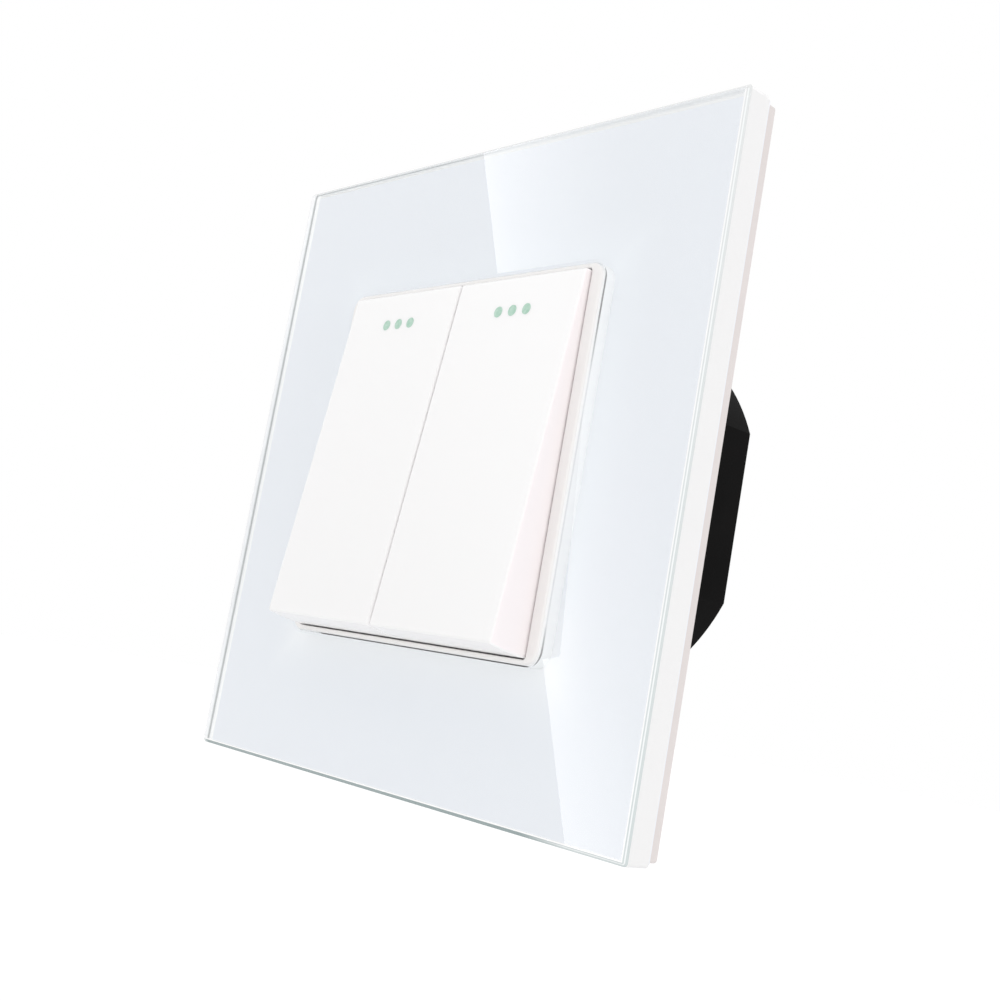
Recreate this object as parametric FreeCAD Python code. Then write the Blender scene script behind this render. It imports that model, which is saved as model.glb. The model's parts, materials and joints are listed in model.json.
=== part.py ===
import FreeCAD, Part
import math
import os

# Two-gang changeover light switch with a square glass panel, for a round wall box.
# Millimetres. X runs to the right, Y into the wall and Z up. The wall's face is the plane Y = 0,
# and the origin is the centre of the box screws, so the front of the switch faces -Y.
# Both rockers are stored as pictured: pressed in at the top.

Vector = FreeCAD.Vector
ORIGIN = Vector(0, 0, 0)
ALONG_X = Vector(1, 0, 0)
ALONG_Y = Vector(0, 1, 0)
ALONG_Z = Vector(0, 0, 1)

# Clearances
loose_gap = 0.2
swing_gap = 0.35
running_gap = 0.05

# Glass panel and the print behind it
panel_size = 86.0
panel_corner_radius = 0.5
glass_thickness = 4.0
glass_front_chamfer = 0.45
glass_rear_chamfer = 0.3
glass_hole_chamfer = 0.3
print_thickness = 0.2

# Plastic carrier behind the glass
carrier_inset = 0.5
carrier_plate = 1.5
carrier_corner_radius = 0.4
skirt_corner_radius = 1.6
carrier_edge_radius = 0.3
skirt_wall = 1.6
yoke_margin = 1.4
clip_spacing = 32.0
clip_width = 6.0
clip_thickness = 1.2
clip_tooth = 0.7
screw_recess_radius = 4.0
screw_recess_depth = 1.0

# Steel yoke
yoke_size = 71.0
yoke_thickness = 1.2
yoke_corner_radius = 3.0
yoke_window_height = 13.0
box_screw_spacing = 60.0
box_slot_width = 3.6
box_slot_length = 6.0

# Module frame: bezel, walls, floor and flange
module_width = 50.0
module_height = 48.5
module_corner_radius = 2.0
rim_proud = 0.15
rim_outer_radius = 0.3
rim_inner_radius = 0.2
side_wall = 1.8
end_wall = 0.6
window_corner_radius = 0.5
floor_thickness = 1.6
flange_width = 1.5
lug_thickness = 2.0
lug_radius = 2.2

# Rocker keys, tilted by key_tilt either side of flat
key_tilt = 6.0
key_proud = 3.4
key_pivot_depth = 4.4
key_side_gap = 0.15
key_end_gap = 0.15
key_seam = 0.3
key_face = 1.3
key_wall = 1.0
key_edge_radius = 0.35
skirt_overlap = 1.0
dot_radius = 0.75
dot_depth = 0.3
dot_spacing = 2.6
dot_drop = 4.6

# Rocker levers, plungers and springs
hub_width = 8.0
hub_radius = 2.0
trunnion_radius = 1.2
stem_thickness = 4.0
plate_width = 8.0
plate_height = 12.0
plate_thickness = 1.2
key_hook_width = 6.0
key_hook_thickness = 1.0
key_hook_tooth = 0.6
nose_width = 5.2
nose_overhang = 1.8
plunger_radius = 1.5
plunger_head = 2.6
shank_radius = 0.6
shank_length = 3.0
spring_wire_radius = 0.2
spring_coil_radius = 1.05
spring_turns = 6
spring_length = 5.2

# Contact bridges and the brass that they touch
contact_depth = 10.5
strip_thickness = 0.8
strip_width = 4.8
fixed_tip_radius = 1.6
fixed_tip_height = 0.6
moving_tip_radius = 1.4
moving_tip_height = 0.35
moving_tip_crown = 0.3
bridge_tilt = 9.0
bridge_arm = 8.0
bridge_width = 4.0
bridge_thickness = 1.0
bridge_end = 0.3
bridge_pin_radius = 0.6
ear_radius = 1.6
ear_thickness = 0.8

# Terminals
terminal_offset = 8.5
terminal_width = 6.0
terminal_height = 7.0
terminal_length = 8.0
wire_hole = 3.6
wire_hole_lift = 1.2
clamp_screw_radius = 1.4
clamp_head_radius = 2.0
clamp_head_height = 1.6
clamp_head_lift = 0.3
driver_slot_width = 0.6
driver_slot_depth = 0.7

# Rear housing
housing_radius = 26.6
housing_flats = 48.0
housing_depth = 24.7
housing_wall = 1.5
housing_floor = 1.6
housing_edge_chamfer = 0.6
partition_thickness = 1.2
cheek_thickness = 1.0
cheek_length = 4.0
head_room = 1.5
wire_lead_in = 0.5

# Contact cover and the module screws
cover_thickness = 1.6
post_size = 2.4
boss_radius = 2.4
module_screw_radius = 1.1
module_screw_length = 14.0
module_head_radius = 1.9
module_head_height = 1.2
cross_width = 0.5
cross_length = 2.2
cross_depth = 0.6

# Places that follow from the sizes
tilt = math.radians(key_tilt)
window_width = module_width - 2 * side_wall
window_height = module_height - 2 * end_wall
key_width = (window_width - 2 * key_side_gap - key_seam) / 2
key_reach = window_height / 2 - key_end_gap
key_half_height = math.sqrt(key_reach ** 2 - key_pivot_depth ** 2)
key_rise = key_half_height * math.sin(tilt)
gang_x = (key_width + key_seam) / 2

yoke_front = -yoke_thickness
floor_front = yoke_front - floor_thickness
front_for_keys = floor_front - swing_gap - 2 * key_rise + rim_proud - skirt_overlap
front_for_plate = floor_front - loose_gap - carrier_plate - print_thickness - glass_thickness
glass_front = min(front_for_keys, front_for_plate)
glass_rear = glass_front + glass_thickness
print_rear = glass_rear + print_thickness
plate_rear = print_rear + carrier_plate
rim_front = glass_front - rim_proud
hole_width = module_width + 2 * loose_gap
hole_height = module_height + 2 * loose_gap
hole_radius = module_corner_radius + loose_gap
flange_across = module_width + 2 * flange_width
flange_height = module_height + 2 * flange_width
carrier_size = panel_size - 2 * carrier_inset
skirt_size = yoke_size + 2 * (yoke_margin + skirt_wall)

pivot_y = glass_front - key_proud + key_pivot_depth * math.cos(tilt)
key_depth = (key_proud + key_rise - rim_proud + skirt_overlap) / math.cos(tilt)
key_inside = pivot_y - key_pivot_depth + key_face

bridge_angle = math.radians(bridge_tilt)
crown_radius = (moving_tip_radius ** 2 + moving_tip_crown ** 2) / (2 * moving_tip_crown)
tip_base = bridge_thickness / 2 + moving_tip_height
crown_centre = tip_base + moving_tip_crown - crown_radius
tip_reach = crown_centre * math.cos(bridge_angle) + bridge_arm * math.sin(bridge_angle) + crown_radius
fulcrum_y = contact_depth - fixed_tip_height - running_gap - tip_reach
bridge_front = fulcrum_y - bridge_thickness / 2
plunger_tip = bridge_front - running_gap
nose_end = plunger_tip - nose_overhang
strip_rear = contact_depth + strip_thickness
ear_inner = bridge_width / 2 + loose_gap
ear_outer = ear_inner + ear_thickness

housing_inner = housing_flats / 2 - housing_wall
round_inner = housing_radius - housing_wall
block_limit = math.sqrt(round_inner ** 2 - (terminal_offset + terminal_width / 2) ** 2) - loose_gap
terminal_top = min(housing_inner - head_room, block_limit)
strip_limit = math.sqrt(round_inner ** 2 - (terminal_offset + strip_width / 2) ** 2) - running_gap
strip_end = min(terminal_top - loose_gap, strip_limit)
terminal_foot = terminal_top - terminal_height
terminal_rear = strip_rear + terminal_length
wire_centre = terminal_foot + wire_hole_lift + wire_hole / 2
floor_inside = housing_depth - housing_floor
post_place = strip_end - post_size / 2
boss_place = (housing_radius - housing_wall / 2 - boss_radius) / math.sqrt(2)


def block(x, y, z):
    """Box between two X, two Y and two Z."""
    return Part.makeBox(x[1] - x[0], y[1] - y[0], z[1] - z[0], Vector(x[0], y[0], z[0]))


def centred(width, y, height, x=0.0, z=0.0):
    """Box centred on x and z, from y[0] to y[1]."""
    return block((x - width / 2, x + width / 2), y, (z - height / 2, z + height / 2))


def rod(radius, start, end):
    """Round bar between two points."""
    return Part.makeCylinder(radius, (end - start).Length, start, end - start)


def rod_x(radius, x, y, z=0.0):
    """Round bar along X, from x[0] to x[1]."""
    return rod(radius, Vector(x[0], y, z), Vector(x[1], y, z))


def rod_y(radius, y, x=0.0, z=0.0):
    """Round bar along Y, from y[0] to y[1]."""
    return rod(radius, Vector(x, y[0], z), Vector(x, y[1], z))


def rounded_plate(width, height, radius, y):
    """Plate with rounded corners across X and Z, from y[0] to y[1]."""
    plate = centred(width, y, height)
    corners = [edge for edge in plate.Edges if along(edge, ALONG_Y)]
    return plate.makeFillet(radius, corners)


def along(edge, direction):
    """True for a straight edge that runs along a direction."""
    span = edge.Vertexes[-1].Point - edge.Vertexes[0].Point
    return abs(span.dot(direction)) > 0.999 * span.Length > 0


def edges_on(shape, y):
    """Edges of a shape that lie in the plane at y."""
    return [e for e in shape.Edges if all(abs(v.Y - y) < 1e-6 for v in e.Vertexes)]


def inner_edges(shape, y, width, height):
    """Edges at y of a centred hole of this width and height."""
    reach = (width / 2 + 1e-6, height / 2 + 1e-6)
    return [e for e in edges_on(shape, y)
            if all(abs(v.X) < reach[0] and abs(v.Z) < reach[1] for v in e.Vertexes)]


def slot_x(width, length, y, x):
    """Stadium cutter through Y, along X, centred on x."""
    reach = (length - width) / 2
    ends = [rod_y(width / 2, y, x - reach), rod_y(width / 2, y, x + reach)]
    return ends[0].multiFuse([ends[1], centred(2 * reach, y, width, x)])


def turned(shape, degrees):
    """Copy turned about the Y axis, from +Z towards +X."""
    copy = shape.copy()
    copy.rotate(ORIGIN, ALONG_Y, degrees)
    return copy


def joined(shapes):
    """One solid of several that touch."""
    return shapes[0].multiFuse(shapes[1:]).removeSplitter()


def rocked(shape):
    """Rocker piece, drawn flat, turned to the pressed-in-at-the-top pose."""
    shape.rotate(Vector(0, pivot_y, 0), ALONG_X, -key_tilt)
    return shape


def rocked_contact(shape):
    """Bridge piece, drawn flat, turned to close the lower contact."""
    shape.rotate(Vector(0, fulcrum_y, 0), ALONG_X, bridge_tilt)
    return shape


def module_opening(y):
    """Cutter for the opening that the module stands in, from y[0] to y[1]."""
    return rounded_plate(hole_width, hole_height, hole_radius, y)


def glass_panel():
    """Glass slab with chamfered edges and the opening for the module."""
    slab = rounded_plate(panel_size, panel_size, panel_corner_radius, (glass_front, glass_rear))
    slab = slab.makeChamfer(glass_front_chamfer, edges_on(slab, glass_front))
    slab = slab.makeChamfer(glass_rear_chamfer, edges_on(slab, glass_rear))
    slab = slab.cut(module_opening((glass_front, glass_rear)))
    return slab.makeChamfer(glass_hole_chamfer, inner_edges(slab, glass_front, hole_width, hole_height))


def panel_print():
    """Print and adhesive layer between the glass and the carrier."""
    size = panel_size - 2 * glass_rear_chamfer
    radius = panel_corner_radius - glass_rear_chamfer
    layer = rounded_plate(size, size, radius, (glass_rear, print_rear))
    return layer.cut(module_opening((glass_rear, print_rear)))


def carrier_clip(side, z):
    """Snap clip that holds under the module frame's flange."""
    inner = flange_across / 2 + loose_gap
    end = yoke_front - loose_gap
    lip = floor_front + floor_thickness / 2 + running_gap
    leg = block((inner, inner + clip_thickness), (plate_rear, end), (z - clip_width / 2, z + clip_width / 2))
    tooth = block((inner - clip_tooth, inner), (lip, end), (z - clip_width / 2, z + clip_width / 2))
    return turned(leg.fuse(tooth), 0 if side > 0 else 180)


def panel_carrier():
    """Plate behind the glass, its stepped-in skirt that meets the wall, and its clips."""
    plate = rounded_plate(carrier_size, carrier_size, carrier_corner_radius, (print_rear, plate_rear))
    plate = plate.makeFillet(carrier_edge_radius, edges_on(plate, plate_rear))
    skirt = rounded_plate(skirt_size, skirt_size, skirt_corner_radius, (plate_rear, 0.0))
    inner = skirt_size - 2 * skirt_wall
    skirt = skirt.cut(centred(inner, (plate_rear, 0.0), inner))
    clips = [carrier_clip(side, z) for side in (-1, 1) for z in (-clip_spacing / 2, clip_spacing / 2)]
    body = joined([plate, skirt] + clips)
    cuts = [module_opening((print_rear, plate_rear))]
    recess = rod_y(screw_recess_radius, (plate_rear - screw_recess_depth, plate_rear), box_screw_spacing / 2)
    cuts += [turned(recess, quarter) for quarter in (0, 90, 180, 270)]
    return body.cut(cuts)


def support_yoke():
    """Steel plate that the box screws hold to the wall."""
    depth = (yoke_front, 0.0)
    plate = rounded_plate(yoke_size, yoke_size, yoke_corner_radius, depth)
    window_half = gang_x + hub_width / 2 + loose_gap + swing_gap
    window = centred(2 * window_half, depth, yoke_window_height)
    slot = slot_x(box_slot_width, box_slot_length, depth, box_screw_spacing / 2)
    holes = [rod_y(module_screw_radius + loose_gap, depth, x, z) for x, z in screw_places()]
    slots = [turned(slot, quarter) for quarter in (0, 90, 180, 270)]
    return plate.cut([window] + slots + holes)


def screw_places():
    """Centres of the four module screws in X and Z."""
    return [(x, z) for x in (-boss_place, boss_place) for z in (-boss_place, boss_place)]


def bearing_lug(x):
    """Lug on the module floor with the bore for one trunnion, starting at x."""
    width = (x, x + lug_thickness)
    foot = block(width, (pivot_y, floor_front), (-lug_radius, lug_radius))
    return foot.fuse(rod_x(lug_radius, width, pivot_y))


def module_frame():
    """Bezel with its walls, floor, flange and the four bearing lugs."""
    tube = rounded_plate(module_width, module_height, module_corner_radius, (rim_front, floor_front))
    tube = tube.makeFillet(rim_outer_radius, edges_on(tube, rim_front))
    window = rounded_plate(window_width, window_height, window_corner_radius, (rim_front, floor_front))
    tube = tube.cut(window)
    tube = tube.makeFillet(rim_inner_radius, inner_edges(tube, rim_front, window_width, window_height))
    floor = rounded_plate(flange_across, flange_height, module_corner_radius, (floor_front, yoke_front))
    lug_start = hub_width / 2 + loose_gap
    lugs = []
    for gang in (-gang_x, gang_x):
        lugs += [bearing_lug(gang - lug_start - lug_thickness), bearing_lug(gang + lug_start)]
    body = joined([tube, floor] + lugs)
    through = (floor_front, yoke_front)
    cuts = [rod_y(module_screw_radius + loose_gap, through, x, z) for x, z in screw_places()]
    lean = (yoke_front - pivot_y) * math.sin(tilt) + nose_width / 2 / math.cos(tilt)
    half = max(lean, hub_radius) + swing_gap
    for gang in (-gang_x, gang_x):
        cuts.append(centred(2 * lug_start, through, 2 * half, gang))
        reach = lug_start + lug_thickness
        cuts.append(rod_x(trunnion_radius + running_gap, (gang - reach, gang + reach), pivot_y))
    edge = flange_across / 2
    recess = (floor_front + floor_thickness / 2, yoke_front)
    for z in (-clip_spacing / 2, clip_spacing / 2):
        notch = centred(2 * (clip_tooth + loose_gap), recess, clip_width + 2 * loose_gap, edge, z)
        cuts += [notch, turned(notch, 180)]
    return body.cut(cuts)


def swing_block(width, y, reach, x):
    """Block whose two ends follow a circle of radius reach about the rocker's axis."""
    round_bar = rod_x(reach, (x - width / 2, x + width / 2), pivot_y)
    return centred(width, y, 2 * reach, x).common(round_bar)


def key(gang):
    """Rocker key: a hollow cap with two hooks for its lever and three pockets for the dots."""
    front = pivot_y - key_pivot_depth
    rear = front + key_depth
    cap = swing_block(key_width, (front, rear), key_reach, gang)
    rims = [edge for edge in cap.Edges if any(vertex.Y < rear - 1e-6 for vertex in edge.Vertexes)]
    cap = cap.makeFillet(key_edge_radius, rims)
    cap = cap.cut(swing_block(key_width - 2 * key_wall, (key_inside, rear), key_reach - key_wall, gang))
    plate_back = key_inside + plate_thickness
    hook_end = plate_back + 2 * key_hook_tooth
    hook_x = (gang - key_hook_width / 2, gang + key_hook_width / 2)
    inner = plate_height / 2 + running_gap
    hooks = []
    for side in (-1, 1):
        leg = block(hook_x, (key_inside, hook_end), (inner, inner + key_hook_thickness))
        tooth = block(hook_x, (plate_back + running_gap, hook_end), (inner - key_hook_tooth, inner))
        hook = leg.fuse(tooth)
        if side < 0:
            hook = hook.mirror(ORIGIN, ALONG_Z)
        hooks.append(hook)
    cap = joined([cap] + hooks)
    return rocked(cap.cut([dot(gang, place) for place in (-1, 0, 1)]))


def dot(gang, place):
    """One indicator dot, drawn on a flat key."""
    front = pivot_y - key_pivot_depth
    depth = (front, front + dot_depth)
    return rod_y(dot_radius, depth, gang + place * dot_spacing, key_half_height - dot_drop)


def indicator_dots(gang):
    """The three dots of one key."""
    return rocked(Part.makeCompound([dot(gang, place) for place in (-1, 0, 1)]))


def lever(gang):
    """Rocker lever: hub with trunnions, plate that holds the key, hollow nose for the plunger."""
    hub = rod_x(hub_radius, (gang - hub_width / 2, gang + hub_width / 2), pivot_y)
    reach = hub_width / 2 + loose_gap + lug_thickness
    trunnions = rod_x(trunnion_radius, (gang - reach, gang + reach), pivot_y)
    plate = centred(plate_width, (key_inside, key_inside + plate_thickness), plate_height, gang)
    stem = centred(hub_width, (key_inside, pivot_y), stem_thickness, gang)
    nose = centred(nose_width, (pivot_y, nose_end), nose_width, gang)
    body = joined([hub, trunnions, plate, stem, nose])
    bore = rod_y(plunger_radius + running_gap, (spring_seat(), nose_end), gang)
    return rocked(body.cut(bore))


def spring_seat():
    """Where the plunger spring rests in the lever's nose."""
    return plunger_shoulder() - spring_length


def plunger_shoulder():
    """Where the plunger spring pushes on the plunger."""
    return plunger_tip - plunger_radius - plunger_head


def plunger(gang):
    """Round-ended pin with a thin shank inside the spring."""
    shoulder = plunger_shoulder()
    ball_centre = plunger_tip - plunger_radius
    head = rod_y(plunger_radius, (shoulder, ball_centre), gang)
    ball = Part.makeSphere(plunger_radius, Vector(gang, ball_centre, 0))
    shank = rod_y(shank_radius, (shoulder - shank_length, shoulder), gang)
    return rocked(joined([head, ball, shank]))


def plunger_spring(gang):
    """Coil spring between the lever's nose and the plunger."""
    length = spring_length - 2 * (spring_wire_radius + running_gap)
    helix = Part.makeHelix(length / spring_turns, length, spring_coil_radius)
    section = Part.Circle(Vector(spring_coil_radius, 0, 0), ALONG_Y, spring_wire_radius).toShape()
    coil = Part.Wire(helix.Edges).makePipeShell([Part.Wire(section)], True, True)
    coil.rotate(ORIGIN, ALONG_X, -90)
    coil.translate(Vector(gang, spring_seat() + spring_wire_radius + running_gap, 0))
    return rocked(coil)


def contact_bridge(gang):
    """Brass strip that rocks on its two pins."""
    half = bridge_arm + moving_tip_radius + bridge_end
    strip = centred(bridge_width, (bridge_front, bridge_front + bridge_thickness), 2 * half, gang)
    left_pin = rod_x(bridge_pin_radius, (gang - ear_outer, gang - bridge_width / 2), fulcrum_y)
    right_pin = rod_x(bridge_pin_radius, (gang + bridge_width / 2, gang + ear_outer), fulcrum_y)
    return rocked_contact(joined([strip, left_pin, right_pin]))


def contact_tips(gang):
    """The crowned silver contacts at the two ends of a bridge."""
    tips = []
    base = fulcrum_y + bridge_thickness / 2
    for z in (-bridge_arm, bridge_arm):
        top = base + moving_tip_height + moving_tip_crown
        body = rod_y(moving_tip_radius, (base, top), gang, z)
        crown = Part.makeSphere(crown_radius, Vector(gang, fulcrum_y + crown_centre, z))
        tips.append(body.common(crown))
    return rocked_contact(Part.makeCompound(tips))


def common_bracket(gang):
    """Bracket with two ears for the bridge's pins and a tail to the common terminal."""
    side = math.copysign(1, gang)
    width = 2 * (ear_outer + loose_gap)
    seat = centred(width, (contact_depth, strip_rear), strip_width, gang)
    tail_end = side * (terminal_top - loose_gap)
    tail = block((min(gang, tail_end), max(gang, tail_end)), (contact_depth, strip_rear),
                 (-strip_width / 2, strip_width / 2))
    shapes = [seat, tail]
    for x in (gang - ear_outer, gang + ear_inner):
        ear = (x, x + ear_thickness)
        shapes.append(block(ear, (fulcrum_y, contact_depth), (-ear_radius, ear_radius)))
        shapes.append(rod_x(ear_radius, ear, fulcrum_y))
    bores = rod_x(bridge_pin_radius + running_gap, (gang - ear_outer, gang + ear_outer), fulcrum_y)
    return joined(shapes).cut(bores)


def fixed_contact(gang, up):
    """Flat strip with a pad for a fixed contact and a leg to its terminal block. up is 1 or -1."""
    depth = (contact_depth, strip_rear)
    half = fixed_tip_radius + loose_gap
    pad = centred(strip_width, depth, 2 * half, gang, up * bridge_arm)
    leg_start = bridge_arm - half
    leg_x = math.copysign(terminal_offset, gang)
    leg = centred(strip_width, depth, strip_end - leg_start, leg_x, up * (leg_start + strip_end) / 2)
    return joined([pad, leg])


def fixed_contact_tips():
    """The four flat silver contacts on the fixed strips."""
    depth = (contact_depth - fixed_tip_height, contact_depth)
    return Part.makeCompound([rod_y(fixed_tip_radius, depth, gang, z)
                              for gang in (-gang_x, gang_x) for z in (-bridge_arm, bridge_arm)])


def terminal_places():
    """Name, sideways offset and turn about Y of each terminal, drawn at the top."""
    return [
        ("upper_left", -terminal_offset, 0),
        ("upper_right", terminal_offset, 0),
        ("common_right", 0.0, 90),
        ("lower_right", -terminal_offset, 180),
        ("lower_left", terminal_offset, 180),
        ("common_left", 0.0, 270),
    ]


def terminal_block(offset, turn):
    """Brass block with a square way for the wire and a threaded hole for the clamp screw."""
    x = (offset - terminal_width / 2, offset + terminal_width / 2)
    body = block(x, (strip_rear, terminal_rear), (terminal_foot, terminal_top))
    way = centred(wire_hole, (strip_rear, terminal_rear), wire_hole, offset, wire_centre)
    y = (strip_rear + terminal_rear) / 2
    ends = [Vector(offset, y, z) for z in (wire_centre, terminal_top)]
    return turned(body.cut([way, rod(clamp_screw_radius + running_gap, *ends)]), turn)


def terminal_screw(offset, turn):
    """Clamp screw with a slotted head, screwed in from outside."""
    y = (strip_rear + terminal_rear) / 2
    under_head = terminal_top + clamp_head_lift
    top = under_head + clamp_head_height
    tip = Vector(offset, y, wire_centre + wire_hole / 2)
    seat = Vector(offset, y, under_head)
    shank = rod(clamp_screw_radius, tip, seat)
    head = rod(clamp_head_radius, seat, Vector(offset, y, top))
    slot = block((offset - driver_slot_width / 2, offset + driver_slot_width / 2),
                 (y - clamp_head_radius, y + clamp_head_radius), (top - driver_slot_depth, top))
    return turned(joined([shank, head]).cut(slot), turn)


def terminal_screws():
    """The six clamp screws."""
    return Part.makeCompound([terminal_screw(offset, turn) for name, offset, turn in terminal_places()])


def housing_outline(radius, flats, y):
    """Round with four flats, from y[0] to y[1]."""
    return rod_y(radius, y).common(centred(flats, y, flats))


def terminal_pocket(offset, turn):
    """Solid foot and cheeks that hold one terminal block, before its pocket is cut."""
    half = terminal_width / 2 + loose_gap + cheek_thickness
    y = (terminal_rear - cheek_length, floor_inside)
    z = (terminal_foot - cheek_thickness, housing_inner)
    return turned(block((offset - half, offset + half), y, z), turn)


def terminal_cuts(offset, turn):
    """Room for one block, the way in for its wire and the driver's hole to its screw."""
    half = terminal_width / 2 + loose_gap
    room = block((offset - half, offset + half), (terminal_rear - cheek_length, terminal_rear),
                 (terminal_foot - loose_gap, housing_inner))
    way = centred(wire_hole, (terminal_rear, housing_depth), wire_hole, offset, wire_centre)
    y = (strip_rear + terminal_rear) / 2
    ends = [Vector(offset, y, z) for z in (terminal_top, housing_flats / 2)]
    hole = rod(clamp_head_radius + loose_gap, *ends)
    return [turned(shape, turn) for shape in (room, way, hole)]


def rear_housing():
    """Black cup with a partition between the gangs, screw bosses and terminal pockets."""
    outer = housing_outline(housing_radius, housing_flats, (0.0, housing_depth))
    outer = outer.makeChamfer(housing_edge_chamfer, edges_on(outer, housing_depth))
    inside = housing_outline(round_inner, 2 * housing_inner, (0.0, floor_inside))
    cup = outer.cut(inside)
    partition = centred(partition_thickness, (cover_thickness + loose_gap, floor_inside), 2 * housing_inner)
    bosses = [rod_y(boss_radius, (cover_thickness, floor_inside), x, z) for x, z in screw_places()]
    pockets = [terminal_pocket(offset, turn) for name, offset, turn in terminal_places()]
    body = joined([cup, partition] + bosses + [pocket.common(outer) for pocket in pockets])
    cuts = []
    for name, offset, turn in terminal_places():
        cuts += terminal_cuts(offset, turn)
    screw_end = yoke_front - floor_thickness + module_screw_length
    pilot = (cover_thickness, screw_end + loose_gap)
    cuts += [rod_y(module_screw_radius + running_gap, pilot, x, z) for x, z in screw_places()]
    body = body.cut(cuts)
    mouths = [edge for edge in edges_on(body, housing_depth) if abs(edge.Length - wire_hole) < 1e-6]
    return body.makeChamfer(wire_lead_in, mouths)


def contact_cover():
    """Insulating cover in the housing's mouth, with posts that hold the brass down."""
    y = (0.0, cover_thickness)
    plate = housing_outline(round_inner - loose_gap, 2 * (housing_inner - loose_gap), y)
    reach = (cover_thickness, contact_depth)
    posts = []
    for name, offset, turn in terminal_places():
        posts.append(turned(centred(post_size, reach, post_size, offset, post_place), turn))
    body = joined([plate] + posts)
    lean = (cover_thickness - pivot_y) * math.sin(tilt) + nose_width / 2 / math.cos(tilt)
    half = lean + swing_gap
    cuts = [centred(nose_width + 2 * swing_gap, y, 2 * half, gang) for gang in (-gang_x, gang_x)]
    cuts += [rod_y(module_screw_radius + loose_gap, y, x, z) for x, z in screw_places()]
    return body.cut(cuts)


def module_screw(x, z):
    """Pan-head screw with a cross recess, through frame, yoke and cover into a boss."""
    head_top = floor_front - module_head_height
    shank = rod_y(module_screw_radius, (floor_front, floor_front + module_screw_length), x, z)
    head = rod_y(module_head_radius, (head_top, floor_front), x, z)
    recess = (head_top, head_top + cross_depth)
    upright = centred(cross_width, recess, cross_length, x, z)
    level = centred(cross_length, recess, cross_width, x, z)
    return joined([shank, head]).cut([upright, level])


def module_screws():
    """The four module screws."""
    return Part.makeCompound([module_screw(x, z) for x, z in screw_places()])


def switch():
    """Every piece of the switch by its name."""
    pieces = {
        "glass_panel": glass_panel(),
        "panel_print": panel_print(),
        "panel_carrier": panel_carrier(),
        "support_yoke": support_yoke(),
        "module_frame": module_frame(),
        "rear_housing": rear_housing(),
        "contact_cover": contact_cover(),
        "module_screws": module_screws(),
        "fixed_contact_tips": fixed_contact_tips(),
        "terminal_screws": terminal_screws(),
    }
    for name, offset, turn in terminal_places():
        pieces["terminal_block_" + name] = terminal_block(offset, turn)
    for side, gang in (("left", -gang_x), ("right", gang_x)):
        pieces["key_" + side] = key(gang)
        pieces["indicator_dots_" + side] = indicator_dots(gang)
        pieces["lever_" + side] = lever(gang)
        pieces["plunger_" + side] = plunger(gang)
        pieces["plunger_spring_" + side] = plunger_spring(gang)
        pieces["contact_bridge_" + side] = contact_bridge(gang)
        pieces["contact_tips_" + side] = contact_tips(gang)
        pieces["common_bracket_" + side] = common_bracket(gang)
        pieces["fixed_contact_upper_" + side] = fixed_contact(gang, 1)
        pieces["fixed_contact_lower_" + side] = fixed_contact(gang, -1)
    return pieces


os.makedirs("parts", exist_ok=True)
for piece_name, piece in switch().items():
    piece.exportStep(os.path.join("parts", piece_name + ".step"))
    print(piece_name, "solids", len(piece.Solids), "volume", round(piece.Volume, 1), "valid", piece.isValid())
print("glass front", round(glass_front, 3), "key axis", round(pivot_y, 3), "bridge axis", round(fulcrum_y, 3))
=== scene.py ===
import bmesh
import bpy
import json
import math
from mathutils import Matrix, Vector

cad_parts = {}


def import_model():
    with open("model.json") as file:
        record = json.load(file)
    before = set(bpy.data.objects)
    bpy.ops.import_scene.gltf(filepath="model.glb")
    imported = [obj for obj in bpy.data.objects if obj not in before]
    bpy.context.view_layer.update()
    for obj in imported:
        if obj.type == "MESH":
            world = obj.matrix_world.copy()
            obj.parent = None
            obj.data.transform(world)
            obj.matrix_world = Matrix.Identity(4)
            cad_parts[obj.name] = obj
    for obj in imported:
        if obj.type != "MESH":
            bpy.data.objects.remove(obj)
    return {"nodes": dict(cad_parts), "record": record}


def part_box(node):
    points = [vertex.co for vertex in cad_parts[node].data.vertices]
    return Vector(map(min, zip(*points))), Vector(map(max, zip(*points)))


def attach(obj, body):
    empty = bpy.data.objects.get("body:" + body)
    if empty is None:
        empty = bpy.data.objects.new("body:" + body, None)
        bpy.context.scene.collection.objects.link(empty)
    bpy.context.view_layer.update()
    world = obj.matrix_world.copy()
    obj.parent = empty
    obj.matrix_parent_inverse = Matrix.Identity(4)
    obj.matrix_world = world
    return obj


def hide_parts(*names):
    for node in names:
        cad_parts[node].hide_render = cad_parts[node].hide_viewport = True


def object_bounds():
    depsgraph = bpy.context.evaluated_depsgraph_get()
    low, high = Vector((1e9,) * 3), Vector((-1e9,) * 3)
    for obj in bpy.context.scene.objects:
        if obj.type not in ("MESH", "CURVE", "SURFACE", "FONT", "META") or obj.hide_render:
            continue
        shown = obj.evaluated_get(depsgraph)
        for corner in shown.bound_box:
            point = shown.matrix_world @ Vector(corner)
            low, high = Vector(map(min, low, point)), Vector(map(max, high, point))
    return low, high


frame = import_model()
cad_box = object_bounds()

from types import SimpleNamespace

# Two-gang light switch with a square glass panel. Metres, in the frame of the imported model:
# X to the right, Y into the wall, Z up. The front faces -Y.

MM = 0.001
WHITE = (1.0, 1.0, 1.0)

# Camera, fitted to the corners of the panel and the keys in the photograph
IMAGE_SIZE = 1000
CAMERA_PLACE = (0.13877, -0.11856, -0.02624)
CAMERA_TURN = (97.403, -10.014, 47.385)
CAMERA_CLIP = (0.01, 50.0)
FOCAL_PIXELS = 1375.2
SENSOR_WIDTH = 36.0

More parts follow.
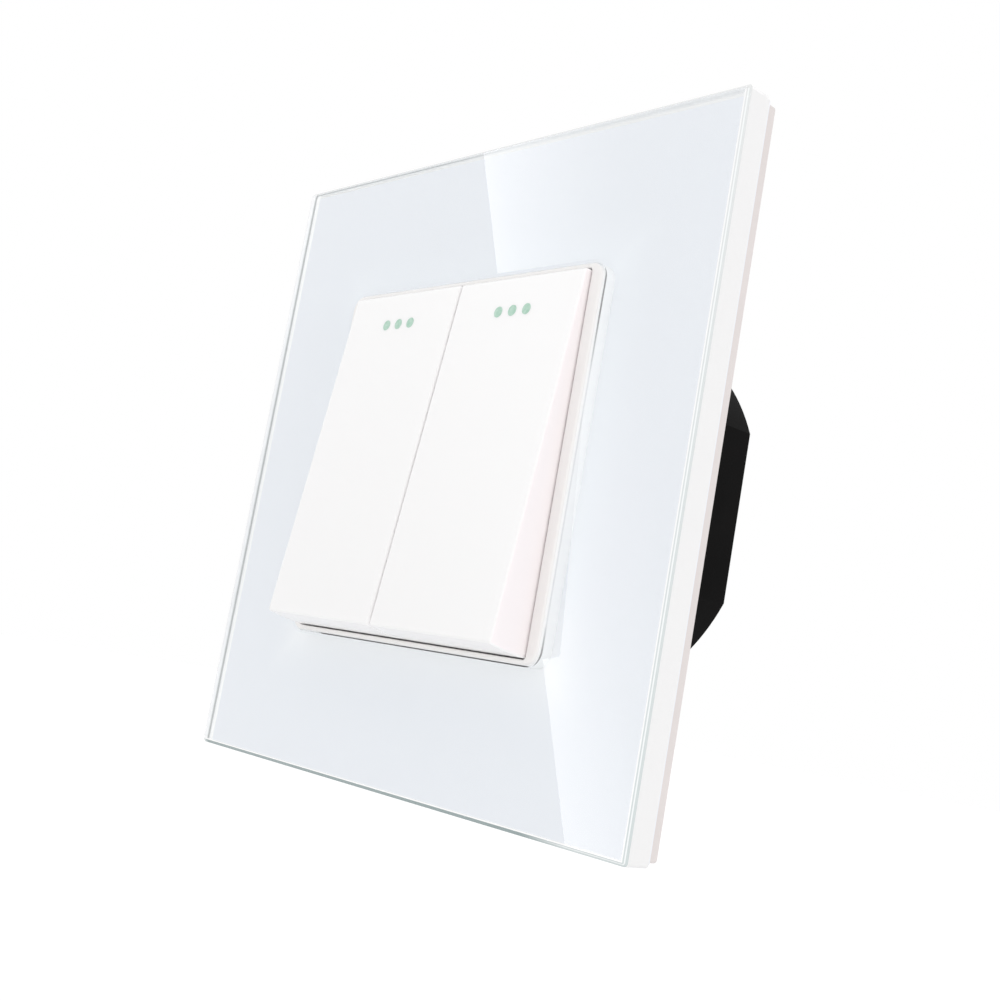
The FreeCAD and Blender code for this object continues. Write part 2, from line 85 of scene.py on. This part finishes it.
# Floor, well below the switch, which hangs on nothing in the photograph. The second of its glows is
# what the camera sees
FLOOR_DROP = 0.12
FLOOR_SIZE = 8.0
FLOOR_COLOR = (0.8, 0.8, 0.8)
FLOOR_TONES = ((0.79, 0.79, 0.79), (0.81, 0.81, 0.81))
FLOOR_CLOUD = 0.3
FLOOR_GLOWS = (0.1, 0.25)

# Soft boxes: place, width, watts and colour
LAMPS = {
    "front_lamp": ((0.1, -0.4, -0.15), 0.3, 0.08, WHITE),
    "right_lamp": ((0.9, -0.1, 0.1), 0.5, 0.9, (1.0, 0.93, 0.91)),
}

# Light card that the glass mirrors, by the pixels where it is seen, and its distance from the glass.
# Its strength and the power of its fade across go from the first value at the top to the second at the bottom
CARD_CORNERS = ((472.5, 60.0), (640.0, 60.0), (687.0, 950.0), (577.0, 950.0))
CARD_DISTANCE = 0.6
CARD_STRENGTHS = (2.0, 2.3)
CARD_FADES = (1.7, 0.8)

# Print on the back of the glass, with painted light that makes it lighter round the hole and lightest below
# it, where the keys and the module shade it
PRINT_HOLE = (50.4 * MM, 48.9 * MM)
PRINT_HOLE_RADIUS = 2.2 * MM
PRINT_CORNER_RADIUS = 0.2 * MM
PRINT_BITE = 0.02 * MM
PRINT_COLOR = (0.855, 0.88, 0.93)
PRINT_PAINTED_LIGHT_COLOR = (0.90, 0.93, 0.975)
PRINT_BELOW_PAINTED_LIGHT_COLOR = (0.96, 0.975, 1.0)
PRINT_BELOW_PAINTED_LIGHT_LEVELS = (-15 * MM, -25 * MM)
PRINT_PAINTED_LIGHT_WIDTH = 8 * MM
PRINT_PAINTED_LIGHT_POWER = 2.0

# Steps in each quarter of a rounded outline
ARC_STEPS = 10

# Clear glass, and the light that it lets through onto what is behind it
GLASS_IOR = 1.52
GLASS_PASS = (0.98, 0.98, 0.98)
GLASS_TINT = (0.5, 0.85, 0.75)
GLASS_TINT_DENSITY = 3.0

# Regions of the glass. A depth is from the front, a reach is the distance from the middle along X or Z,
# whichever is more, and a facing is the share of the surface's direction that is along Y
PANEL_REACH = 43 * MM
SIDE_REACH = (42.4 * MM, 42.5 * MM)
OUTER_REACH = (34 * MM, 36 * MM)
REAR_DEPTH = (1 * MM, 2 * MM)
SLANTED_FACING = (0.2, 0.3)
FLAT_FACING = (0.9, 0.95)

# Ground edges. Painted light makes the left and top ones paler, with a painted shade line half-way in, which
# fades along the top
EDGE_COLOR = (0.86, 0.86, 0.86)
EDGE_SHADE = (0.84, 0.84, 0.84)
EDGE_GRAIN = 0.3 * MM
EDGE_ROUGHNESS = 0.5
EDGE_CLEARNESS = 0.1
# Painted light on the left and top edges, and on the left and rear bevels
FAR_PAINTED_LIGHT_COLOR = (0.94, 0.94, 0.94)
# Painted glow: the left edge gives off a faint light, though it is no lamp
FAR_PAINTED_GLOW = 0.065
# Painted shade: a grey line half-way into the left and top edges
SHADE_LINE_COLOR = (0.45, 0.465, 0.46)
SHADE_LINE_BAND = (2.55 * MM, 2.85 * MM)
SHADE_LINE_SOFT = 0.5 * MM
SHADE_LINE_FADE = (-12 * MM, 4 * MM)
SHADE_LINE_SHARES = (0.85, 0.12)

# Bevels round the front: greenish grey with painted shade that darkens them towards the bottom, a painted
# highlight white at the very front and a light painted highlight line, painted shade dark along the bottom
# and greyer on the top
BEVEL_LOW_SHADE = (0.62, 0.68, 0.68)
BEVEL_HIGH_SHADE = (0.76, 0.78, 0.78)
BEVEL_TOP_SHADE = (0.78, 0.79, 0.79)
BEVEL_BELOW_SHADE = (0.25, 0.32, 0.32)
BEVEL_PAINTED_HIGHLIGHT = (0.90, 0.93, 0.93)
BEVEL_PAINTED_HIGHLIGHT_BAND = (0.14 * MM, 0.23 * MM)
BEVEL_PAINTED_HIGHLIGHT_DEPTH = 0.03 * MM
BELOW_SHADE_ENDS = (-41.5 * MM, 27 * MM)
BELOW_SHADE_FADES = (1 * MM, 7 * MM)

# Painted highlight: a white line on the front beside the bevels
HIGHLIGHT_RIM_START = 42.35 * MM
HIGHLIGHT_RIM_SOFT = 0.03 * MM

# Wall of the hole, with a painted shade line along its mouth on the right, for the shadow in the gap, that is
# darkest at both ends
HOLE_COLOR = (0.93, 0.94, 0.95)
MOUTH_SHADE_COLOR = (0.78, 0.79, 0.80)
MOUTH_CORNER_SHADE = (0.18, 0.18, 0.18)
MOUTH_SIDE = (23.5 * MM, 24.5 * MM)
MOUTH_DEPTH = (1.0 * MM, 1.2 * MM)
MOUTH_UPPER = (10 * MM, 18 * MM)
MOUTH_LOWER = (-19 * MM, -23 * MM)

# White mouldings. A facing is again the share along Y
TRANSLUCENT = {"Subsurface_Weight": 0.3, "Subsurface_Scale": 0.6 * MM, "Subsurface_Radius": (1.0, 1.0, 1.0)}
RIM_COLOR = (0.88, 0.865, 0.855)
# Painted light: the walls of the mouldings are paler than their fronts, lifting the shade in the gaps
RIM_SIDE_PAINTED_LIGHT_COLOR = (0.97, 0.965, 0.96)
RIM_FACING = (0.05, 0.2)
KEY_COLOR = (0.975, 0.97, 0.97)
# Painted shade: the keys are a shade greyer low down
KEY_LOW_SHADE_COLOR = (0.915, 0.91, 0.91)
KEY_LEVELS = (-25 * MM, 25 * MM)
# Painted light: the keys' sides are pinker and their ends paler than their fronts
KEY_SIDE_PAINTED_LIGHT_COLOR = (0.98, 0.91, 0.915)
KEY_END_PAINTED_LIGHT_COLOR = (1.0, 0.985, 0.985)
KEY_FACING = (0.3, 0.8)
KEY_SEAM = (1 * MM, 2 * MM)

# Where the colour ramps start and end, and the colour sockets of a Mix node
RAMP_ENDS = (0.3, 0.7)
MIX_INPUTS = (6, 7)
MIX_OUTPUT = 2


def material(name, color, roughness, **sockets):
    """Material with a Principled shader, and these constants on the shader's own sockets."""
    made = bpy.data.materials.new(name)
    made.use_nodes = True
    inputs = shader_of(made).inputs
    inputs["Base Color"].default_value = (*color, 1.0)
    inputs["Roughness"].default_value = roughness
    for socket, value in sockets.items():
        inputs[socket.replace("_", " ")].default_value = value
    return made


def shader_of(made):
    """Principled shader of a material."""
    return made.node_tree.nodes["Principled BSDF"]


def link(made, output, name):
    """Links an output to a socket of the material's shader."""
    made.node_tree.links.new(output, shader_of(made).inputs[name])


def add_node(made, kind, links=(), **values):
    """Adds a node, sets its inputs by name and links (output, input name) pairs into it."""
    node = made.node_tree.nodes.new(kind)
    for name, value in values.items():
        if name in node.bl_rna.properties:
            setattr(node, name, value)
        else:
            node.inputs[name.replace("_", " ")].default_value = value
    for output, name in links:
        made.node_tree.links.new(output, node.inputs[name])
    return node


def axes(made, space):
    """X, Y and Z outputs of a surface's place, normal or other coordinates."""
    coordinates = add_node(made, "ShaderNodeTexCoord")
    split = add_node(made, "ShaderNodeSeparateXYZ", [(coordinates.outputs[space], "Vector")])
    return [split.outputs[axis] for axis in "XYZ"]


def combined(made, operation, first, *others):
    """Output of a sum on one or more outputs. All but the first may be numbers."""
    for other in others or (0.0,):
        node = add_node(made, "ShaderNodeMath", [(first, 0)], operation=operation)
        if isinstance(other, float):
            node.inputs[1].default_value = other
        else:
            made.node_tree.links.new(other, node.inputs[1])
        first = node.outputs["Value"]
    return first


def rise(made, value, start, end, low=0.0, high=1.0):
    """Output that goes from low to high while a value goes from start to end."""
    node = add_node(made, "ShaderNodeMapRange", [(value, "Value")], From_Min=start, From_Max=end,
                    To_Min=low, To_Max=high)
    return node.outputs["Result"]


def fall(made, value, start=0.0, end=1.0):
    """Output that goes from 1 to 0 while a value goes from start to end."""
    return rise(made, value, start, end, 1.0, 0.0)


def between(made, value, start, end, soft=0.02 * MM):
    """Output that is 1 while a value is between two others, and 0 elsewhere."""
    return combined(made, "MULTIPLY", rise(made, value, start - soft, start),
                    fall(made, value, end, end + soft))


def blended(made, share, first, second):
    """Colour output between two, each an output or a plain colour."""
    node = add_node(made, "ShaderNodeMix", [(share, "Factor")], data_type="RGBA")
    for index, color in zip(MIX_INPUTS, (first, second)):
        if isinstance(color, (tuple, list)):
            node.inputs[index].default_value = (*color, 1.0)
        else:
            made.node_tree.links.new(color, node.inputs[index])
    return node.outputs[MIX_OUTPUT]


def surface_noise(made, grain, stretch=(1, 1, 1), detail=3.0):
    """Noise over the object's own coordinates, with grains of about this size in metres."""
    coordinates = add_node(made, "ShaderNodeTexCoord")
    mapping = add_node(made, "ShaderNodeMapping", [(coordinates.outputs["Object"], "Vector")])
    mapping.inputs["Scale"].default_value = stretch
    return add_node(made, "ShaderNodeTexNoise", [(mapping.outputs["Vector"], "Vector")],
                    Scale=1.0 / grain, Detail=detail)


def clouded(made, color, grain, share):
    """Colour output that wanders between a colour and this share of it."""
    return blended(made, surface_noise(made, grain).outputs["Fac"], color, [share * value for value in color])


def vary_color(made, noise, low, high):
    """Base colour that wanders between two near colours."""
    ramp = add_node(made, "ShaderNodeValToRGB", [(noise.outputs["Fac"], "Fac")])
    for element, position, color in zip(ramp.color_ramp.elements, RAMP_ENDS, (low, high)):
        element.position = position
        element.color = (*color, 1.0)
    link(made, ramp.outputs["Color"], "Base Color")


def vary_roughness(made, noise, low, high):
    """Roughness that wanders between two values."""
    link(made, rise(made, noise.outputs["Fac"], 0.0, 1.0, low, high), "Roughness")


def roughen(made, noise, height):
    """Bump of this height in metres."""
    bump = add_node(made, "ShaderNodeBump", [(noise.outputs["Fac"], "Height")], Distance=height, Strength=1.0)
    link(made, bump.outputs["Normal"], "Normal")


def glass_regions(made):
    """Outputs that tell where a point of the glass lies. All but x, z, depth and reach go from 0 to 1."""
    x, y, z = axes(made, "Object")
    facing = combined(made, "ABSOLUTE", axes(made, "Normal")[1])
    depth = combined(made, "SUBTRACT", y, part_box("glass_panel")[0].y)
    reach = combined(made, "MAXIMUM", combined(made, "ABSOLUTE", x), combined(made, "ABSOLUTE", z))
    left = rise(made, x, -SIDE_REACH[0], -SIDE_REACH[1])
    upper = rise(made, z, *SIDE_REACH)
    # Where painted shade darkens the bottom bevel
    below = combined(made, "MULTIPLY", rise(made, z, -SIDE_REACH[0], -SIDE_REACH[1]),
                     rise(made, x, BELOW_SHADE_ENDS[0] - BELOW_SHADE_FADES[0], BELOW_SHADE_ENDS[0]),
                     fall(made, x, BELOW_SHADE_ENDS[1], BELOW_SHADE_ENDS[1] + BELOW_SHADE_FADES[1]))
    # Painted shade line half-way into the left edge, fading along the top one
    lined = combined(made, "MULTIPLY", upper, rise(made, x, *SHADE_LINE_FADE, *SHADE_LINE_SHARES))
    line = combined(made, "MULTIPLY", combined(made, "MAXIMUM", left, lined),
                    between(made, depth, *SHADE_LINE_BAND, SHADE_LINE_SOFT))
    return SimpleNamespace(
        x=x, z=z, depth=depth, reach=reach, left=left, upper=upper, below=below, line=line,
        outer=rise(made, reach, *OUTER_REACH), rear=rise(made, depth, *REAR_DEPTH),
        slanted=rise(made, facing, *SLANTED_FACING), flat=rise(made, facing, *FLAT_FACING))


def ground_edge(made, at):
    """Colour of the panel's edges, with painted light on the left and top ones and a painted shade line
    half-way in.
    """
    edge = blended(made, surface_noise(made, EDGE_GRAIN).outputs["Fac"], EDGE_COLOR, EDGE_SHADE)
    edge = blended(made, combined(made, "MAXIMUM", at.left, at.upper), edge, FAR_PAINTED_LIGHT_COLOR)
    return blended(made, at.line, edge, SHADE_LINE_COLOR)


def hole_wall(made, at):
    """Colour of the wall of the hole, with painted shade along its mouth on the right that is darkest at both
    ends.
    """
    mouth = combined(made, "MULTIPLY", rise(made, at.x, *MOUTH_SIDE), fall(made, at.depth, *MOUTH_DEPTH))
    ends = combined(made, "MAXIMUM", rise(made, at.z, *MOUTH_UPPER), rise(made, at.z, *MOUTH_LOWER))
    return blended(made, mouth, HOLE_COLOR, blended(made, ends, MOUTH_SHADE_COLOR, MOUTH_CORNER_SHADE))


def bevels(made, at):
    """Colour of the bevels, with painted shade and painted highlights. The one on the left, and those at the
    rear, are as pale as the edge there, with the same painted light.
    """
    bevel = blended(made, rise(made, at.z, -PANEL_REACH, PANEL_REACH), BEVEL_LOW_SHADE, BEVEL_HIGH_SHADE)
    bevel = blended(made, between(made, at.depth, *BEVEL_PAINTED_HIGHLIGHT_BAND), bevel, BEVEL_PAINTED_HIGHLIGHT)
    bevel = blended(made, at.below, bevel, BEVEL_BELOW_SHADE)
    # Painted highlight at the very front of the bevels, and painted shade on the top one
    bevel = blended(made, rise(made, at.depth, 0.0, BEVEL_PAINTED_HIGHLIGHT_DEPTH), WHITE, bevel)
    bevel = blended(made, at.upper, bevel, BEVEL_TOP_SHADE)
    return blended(made, combined(made, "MAXIMUM", at.left, at.rear), bevel, FAR_PAINTED_LIGHT_COLOR)


def painted_highlight_rim(made, at):
    """Output that is 1 on the painted highlight, a white line on the front, which the top side doesn't have.
    """
    return combined(made, "MULTIPLY", rise(made, at.reach, HIGHLIGHT_RIM_START, HIGHLIGHT_RIM_START + HIGHLIGHT_RIM_SOFT),
                    fall(made, at.rear), fall(made, at.z, HIGHLIGHT_RIM_START - HIGHLIGHT_RIM_SOFT, HIGHLIGHT_RIM_START))


def pass_light(made):
    """Lets light fall through the glass onto what is behind it, and tints the glass by its thickness."""
    path = add_node(made, "ShaderNodeLightPath")
    falling = combined(made, "MAXIMUM", path.outputs["Is Shadow Ray"], path.outputs["Is Diffuse Ray"])
    passing = add_node(made, "ShaderNodeBsdfTransparent", Color=(*GLASS_PASS, 1.0))
    mix = add_node(made, "ShaderNodeMixShader", [(falling, "Fac"), (shader_of(made).outputs["BSDF"], 1),
                                                 (passing.outputs["BSDF"], 2)])
    tint = add_node(made, "ShaderNodeVolumeAbsorption", Color=(*GLASS_TINT, 1.0), Density=GLASS_TINT_DENSITY)
    output = made.node_tree.nodes["Material Output"]
    made.node_tree.links.new(mix.outputs["Shader"], output.inputs["Surface"])
    made.node_tree.links.new(tint.outputs["Volume"], output.inputs["Volume"])


def clear_glass():
    """Polished clear faces, lined bevels with painted highlights and painted shade, ground edges with painted
    light, a painted glow and a painted shade line, and a pale hole wall with painted shade at its mouth.
    """
    made = material("clear_glass", WHITE, 0.0, Transmission_Weight=1.0, IOR=GLASS_IOR,
                    Emission_Color=(*WHITE, 1.0))
    at = glass_regions(made)
    clear = combined(made, "MAXIMUM", combined(made, "SUBTRACT", at.flat, painted_highlight_rim(made, at)),
                     fall(made, at.outer))
    ground = blended(made, at.outer, hole_wall(made, at), ground_edge(made, at))
    polished = blended(made, clear, bevels(made, at), WHITE)
    link(made, blended(made, at.slanted, ground, polished), "Base Color")
    clear = combined(made, "MULTIPLY", at.slanted, clear)
    link(made, rise(made, clear, 0.0, 1.0, EDGE_CLEARNESS, 1.0), "Transmission Weight")
    link(made, rise(made, at.slanted, 0.0, 1.0, EDGE_ROUGHNESS, 0.0), "Roughness")
    # Painted glow on the left edge, though it is no lamp
    painted_glow = combined(made, "MULTIPLY", at.left, at.outer, fall(made, at.line), fall(made, at.flat))
    link(made, rise(made, painted_glow, 0.0, 1.0, 0.0, FAR_PAINTED_GLOW), "Emission Strength")
    pass_light(made)
    return made


def panel_print():
    made = material("panel_print", PRINT_COLOR, 0.5)
    x, _, z = axes(made, "Object")
    beyond = [combined(made, "SUBTRACT", combined(made, "ABSOLUTE", value), size / 2)
              for value, size in zip((x, z), PRINT_HOLE)]
    # Painted light: lighter round the hole and lightest below it, against the shade of the keys and the
    # module
    painted_light_share = fall(made, combined(made, "MAXIMUM", *beyond), 0.0, PRINT_PAINTED_LIGHT_WIDTH)
    near = blended(made, rise(made, z, *PRINT_BELOW_PAINTED_LIGHT_LEVELS), PRINT_PAINTED_LIGHT_COLOR, PRINT_BELOW_PAINTED_LIGHT_COLOR)
    field = clouded(made, PRINT_COLOR, grain=6 * MM, share=0.99)
    link(made, blended(made, combined(made, "POWER", painted_light_share, PRINT_PAINTED_LIGHT_POWER), field, near), "Base Color")
    return made


def white_plastic():
    """Satin white, with painted light that makes the walls paler than the front."""
    made = material("white_plastic", RIM_COLOR, 0.35, **TRANSLUCENT)
    front = rise(made, combined(made, "ABSOLUTE", axes(made, "Normal")[1]), *RIM_FACING)
    face = clouded(made, RIM_COLOR, grain=5 * MM, share=0.98)
    link(made, blended(made, front, RIM_SIDE_PAINTED_LIGHT_COLOR, face), "Base Color")
    grain = surface_noise(made, 0.25 * MM)
    vary_roughness(made, grain, low=0.3, high=0.42)
    roughen(made, grain, height=0.004 * MM)
    return made


def carrier_plastic():
    made = material("carrier_plastic", (0.715, 0.67, 0.66), 0.4)
    vary_color(made, surface_noise(made, 5 * MM), low=(0.705, 0.66, 0.65), high=(0.725, 0.68, 0.67))
    grain = surface_noise(made, 0.25 * MM)
    vary_roughness(made, grain, low=0.35, high=0.48)
    roughen(made, grain, height=0.006 * MM)
    return made


def key_plastic():
    """Polished white, with painted shade that greys it low down, and painted light that makes the sides
    pinker and the ends paler, but not in the seam.
    """
    made = material("key_plastic", KEY_COLOR, 0.22, **TRANSLUCENT)
    x, _, z = axes(made, "Object")
    _, depthwise, upwards = [combined(made, "ABSOLUTE", axis) for axis in axes(made, "Normal")]
    face = clouded(made, KEY_COLOR, grain=8 * MM, share=0.99)
    face = blended(made, rise(made, z, *KEY_LEVELS), KEY_LOW_SHADE_COLOR, face)
    outside = rise(made, combined(made, "ABSOLUTE", x), *KEY_SEAM)
    upright = fall(made, upwards, *KEY_FACING)
    side = blended(made, combined(made, "MULTIPLY", outside, upright), KEY_END_PAINTED_LIGHT_COLOR, KEY_SIDE_PAINTED_LIGHT_COLOR)
    link(made, blended(made, rise(made, depthwise, *KEY_FACING), side, face), "Base Color")
    grain = surface_noise(made, 0.6 * MM)
    vary_roughness(made, grain, low=0.2, high=0.28)
    roughen(made, grain, height=0.001 * MM)
    return made


def green_dots():
    made = material("green_dots", (0.44, 0.66, 0.54), 0.4)
    vary_color(made, surface_noise(made, 0.35 * MM), low=(0.36, 0.60, 0.47), high=(0.54, 0.72, 0.62))
    return made


def nylon():
    made = material("nylon", (0.80, 0.79, 0.74), 0.45, Subsurface_Weight=0.2, Subsurface_Scale=0.6 * MM)
    vary_color(made, surface_noise(made, 2 * MM), low=(0.78, 0.77, 0.72), high=(0.82, 0.81, 0.77))
    roughen(made, surface_noise(made, 0.2 * MM), height=0.003 * MM)
    return made


def black_plastic():
    made = material("black_plastic", (0.003, 0.003, 0.003), 0.55, Specular_IOR_Level=0.04)
    vary_color(made, surface_noise(made, 7 * MM), low=(0.0025, 0.0025, 0.0025), high=(0.004, 0.0036, 0.0036))
    grain = surface_noise(made, 0.22 * MM, detail=5.0)
    vary_roughness(made, grain, low=0.45, high=0.62)
    roughen(made, grain, height=0.02 * MM)
    return made


def zinc_steel():
    made = material("zinc_steel", (0.62, 0.63, 0.64), 0.35, Metallic=1.0)
    vary_color(made, surface_noise(made, 9 * MM), low=(0.60, 0.61, 0.63), high=(0.67, 0.67, 0.66))
    rolled = surface_noise(made, 0.5 * MM, stretch=(0.03, 1, 1), detail=4.0)
    vary_roughness(made, rolled, low=0.25, high=0.42)
    roughen(made, rolled, height=0.004 * MM)
    return made


def screw_steel():
    made = material("screw_steel", (0.66, 0.65, 0.62), 0.3, Metallic=1.0)
    vary_color(made, surface_noise(made, 1 * MM), low=(0.62, 0.61, 0.58), high=(0.70, 0.69, 0.66))
    turned = surface_noise(made, 0.15 * MM)
    vary_roughness(made, turned, low=0.22, high=0.4)
    roughen(made, turned, height=0.004 * MM)
    return made


def spring_steel():
    made = material("spring_steel", (0.55, 0.56, 0.58), 0.22, Metallic=1.0)
    vary_color(made, surface_noise(made, 0.1 * MM), low=(0.50, 0.51, 0.53), high=(0.60, 0.61, 0.63))
    return made


def brass():
    made = material("brass", (0.75, 0.55, 0.25), 0.28, Metallic=1.0)
    vary_color(made, surface_noise(made, 3 * MM), low=(0.70, 0.50, 0.22), high=(0.80, 0.60, 0.29))
    stamped = surface_noise(made, 0.3 * MM, stretch=(0.1, 1, 1))
    vary_roughness(made, stamped, low=0.2, high=0.36)
    roughen(made, stamped, height=0.003 * MM)
    return made


def contact_silver():
    made = material("contact_silver", (0.86, 0.85, 0.83), 0.2, Metallic=1.0)
    tarnish = surface_noise(made, 0.5 * MM)
    vary_color(made, tarnish, low=(0.80, 0.78, 0.74), high=(0.89, 0.88, 0.86))
    vary_roughness(made, tarnish, low=0.15, high=0.3)
    return made


def dress_frame():
    """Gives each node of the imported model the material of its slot."""
    makers = (clear_glass, panel_print, white_plastic, carrier_plastic, key_plastic, green_dots, nylon,
              black_plastic, zinc_steel, screw_steel, spring_steel, brass, contact_silver)
    made = {make.__name__: make() for make in makers}
    for part in frame["record"]["subparts"]:
        slots = frame["nodes"][part["node"]].data.materials
        slots.clear()
        slots.append(made[part["material_slot"]])
    return made


def rounded_outline(width, height, radius):
    """Points of a rounded rectangle about the origin, in X and Z."""
    points = []
    for quarter, (side, end) in enumerate(((1, 1), (-1, 1), (-1, -1), (1, -1))):
        middle = Vector((side * (width / 2 - radius), end * (height / 2 - radius)))
        for step in range(ARC_STEPS + 1):
            angle = math.radians(90 * (quarter + step / ARC_STEPS))
            points.append(middle + radius * Vector((math.cos(angle), math.sin(angle))))
    return points


def ring_plate(name, outer, inner, y_front, y_rear):
    """Flat ring between two rounded outlines, given as lists of points with as many points each."""
    mesh = bmesh.new()
    loops = []
    for outline, y in ((outer, y_front), (outer, y_rear), (inner, y_rear), (inner, y_front)):
        loops.append([mesh.verts.new((point.x, y, point.y)) for point in outline])
    count = len(outer)
    for first, second in zip(loops, loops[1:] + loops[:1]):
        for i in range(count):
            j = (i + 1) % count
            mesh.faces.new((first[i], first[j], second[j], second[i]))
    bmesh.ops.recalc_face_normals(mesh, faces=mesh.faces)
    data = bpy.data.meshes.new(name)
    mesh.to_mesh(data)
    mesh.free()
    return scene_object(name, data)


def scene_object(name, data):
    """Object with this mesh, lamp or camera, in the scene."""
    made = bpy.data.objects.new(name, data)
    bpy.context.scene.collection.objects.link(made)
    return made


def print_layer(finish):
    """Print and adhesive, pressed a hair into the glass so that the two read as bonded."""
    low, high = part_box("panel_print")
    outer = rounded_outline(2 * high.x, 2 * high.z, PRINT_CORNER_RADIUS)
    inner = rounded_outline(*PRINT_HOLE, PRINT_HOLE_RADIUS)
    layer = ring_plate("print_layer", outer, inner, low.y - PRINT_BITE, high.y - PRINT_BITE)
    layer.data.materials.append(finish)
    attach(layer, "root")
    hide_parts("panel_print")


def camera():
    """Camera at the photograph's place."""
    data = bpy.data.cameras.new("camera")
    data.sensor_width = SENSOR_WIDTH
    data.lens = FOCAL_PIXELS * SENSOR_WIDTH / IMAGE_SIZE
    data.clip_start, data.clip_end = CAMERA_CLIP
    made = scene_object("camera", data)
    made.location = CAMERA_PLACE
    made.rotation_euler = [math.radians(turn) for turn in CAMERA_TURN]
    bpy.context.scene.camera = made
    return made


def floor_finish():
    """Matt and pale, and a little brighter to the camera."""
    made = material("floor", FLOOR_COLOR, 0.6, Emission_Color=(*WHITE, 1.0))
    vary_color(made, surface_noise(made, FLOOR_CLOUD), *FLOOR_TONES)
    path = add_node(made, "ShaderNodeLightPath")
    link(made, rise(made, path.outputs["Is Camera Ray"], 0.0, 1.0, *FLOOR_GLOWS), "Emission Strength")
    return made


def floor():
    """Plain pale floor below the switch."""
    low = cad_box[0].z - FLOOR_DROP
    half = FLOOR_SIZE / 2
    corners = [(-half, -half, low), (half, -half, low), (half, half, low), (-half, half, low)]
    data = bpy.data.meshes.new("floor")
    data.from_pydata(corners, [], [(0, 1, 2, 3)])
    data.materials.append(floor_finish())
    made = scene_object("floor", data)
    made.visible_glossy = False
    made.visible_transmission = False


def world():
    """Plain white light from all round, which is the white of the background too."""
    made = bpy.data.worlds.new("studio")
    made.use_nodes = True
    bpy.context.scene.world = made
    light = made.node_tree.nodes["Background"]
    light.inputs["Color"].default_value = (*WHITE, 1.0)
    light.inputs["Strength"].default_value = 1.0


def lamp(name, place, width, power, color):
    """Square soft box that shines at the switch."""
    data = bpy.data.lights.new(name, "AREA")
    data.size = width
    data.energy = power
    data.color = color
    made = scene_object(name, data)
    made.location = place
    made.rotation_euler = (-Vector(place)).to_track_quat("-Z", "Y").to_euler()
    made.visible_glossy = False


def mirrored(camera_object, pixel, distance):
    """Point at a distance along the ray through a pixel after the front of the glass mirrors it."""
    turn = camera_object.matrix_world.to_3x3()
    place = camera_object.matrix_world.translation
    middle = IMAGE_SIZE / 2
    ray = turn @ Vector(((pixel[0] - middle) / FOCAL_PIXELS, (middle - pixel[1]) / FOCAL_PIXELS, -1.0))
    ray.normalize()
    glass_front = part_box("glass_panel")[0].y
    hit = place + ray * (glass_front - place.y) / ray.y
    return hit + Vector((ray.x, -ray.y, ray.z)) * distance


def card_glow():
    """Light that fades across the card and is clear where it gives none."""
    made = bpy.data.materials.new("light_card")
    made.use_nodes = True
    made.node_tree.nodes.clear()
    across, down, _ = axes(made, "UV")
    fade = combined(made, "POWER", fall(made, across), rise(made, down, 0.0, 1.0, *CARD_FADES))
    strength = combined(made, "MULTIPLY", fade, rise(made, down, 0.0, 1.0, *CARD_STRENGTHS))
    light = add_node(made, "ShaderNodeEmission", [(strength, "Strength")])
    clear = add_node(made, "ShaderNodeBsdfTransparent")
    both = add_node(made, "ShaderNodeAddShader", [(light.outputs["Emission"], 0), (clear.outputs["BSDF"], 1)])
    add_node(made, "ShaderNodeOutputMaterial", [(both.outputs["Shader"], "Surface")])
    return made


def light_card(camera_object):
    """Soft-edged card that only shows as the bright band in the glass."""
    data = bpy.data.meshes.new("light_card")
    corners = [mirrored(camera_object, pixel, CARD_DISTANCE) for pixel in CARD_CORNERS]
    data.from_pydata(corners, [], [(0, 1, 2, 3)])
    layer = data.uv_layers.new(name="across")
    for loop, place in zip(layer.data, ((0, 0), (1, 0), (1, 1), (0, 1))):
        loop.uv = place
    data.materials.append(card_glow())
    card = scene_object("light_card", data)
    card.visible_camera = False
    card.visible_diffuse = False
    card.visible_transmission = False
    card.visible_shadow = False


bpy.context.scene.view_settings.view_transform = "Standard"
finishes = dress_frame()
print_layer(finishes["panel_print"])
main_camera = camera()
bpy.context.view_layer.update()
floor()
world()
for name, (place, width, power, color) in LAMPS.items():
    lamp(name, place, width, power, color)
light_card(main_camera)
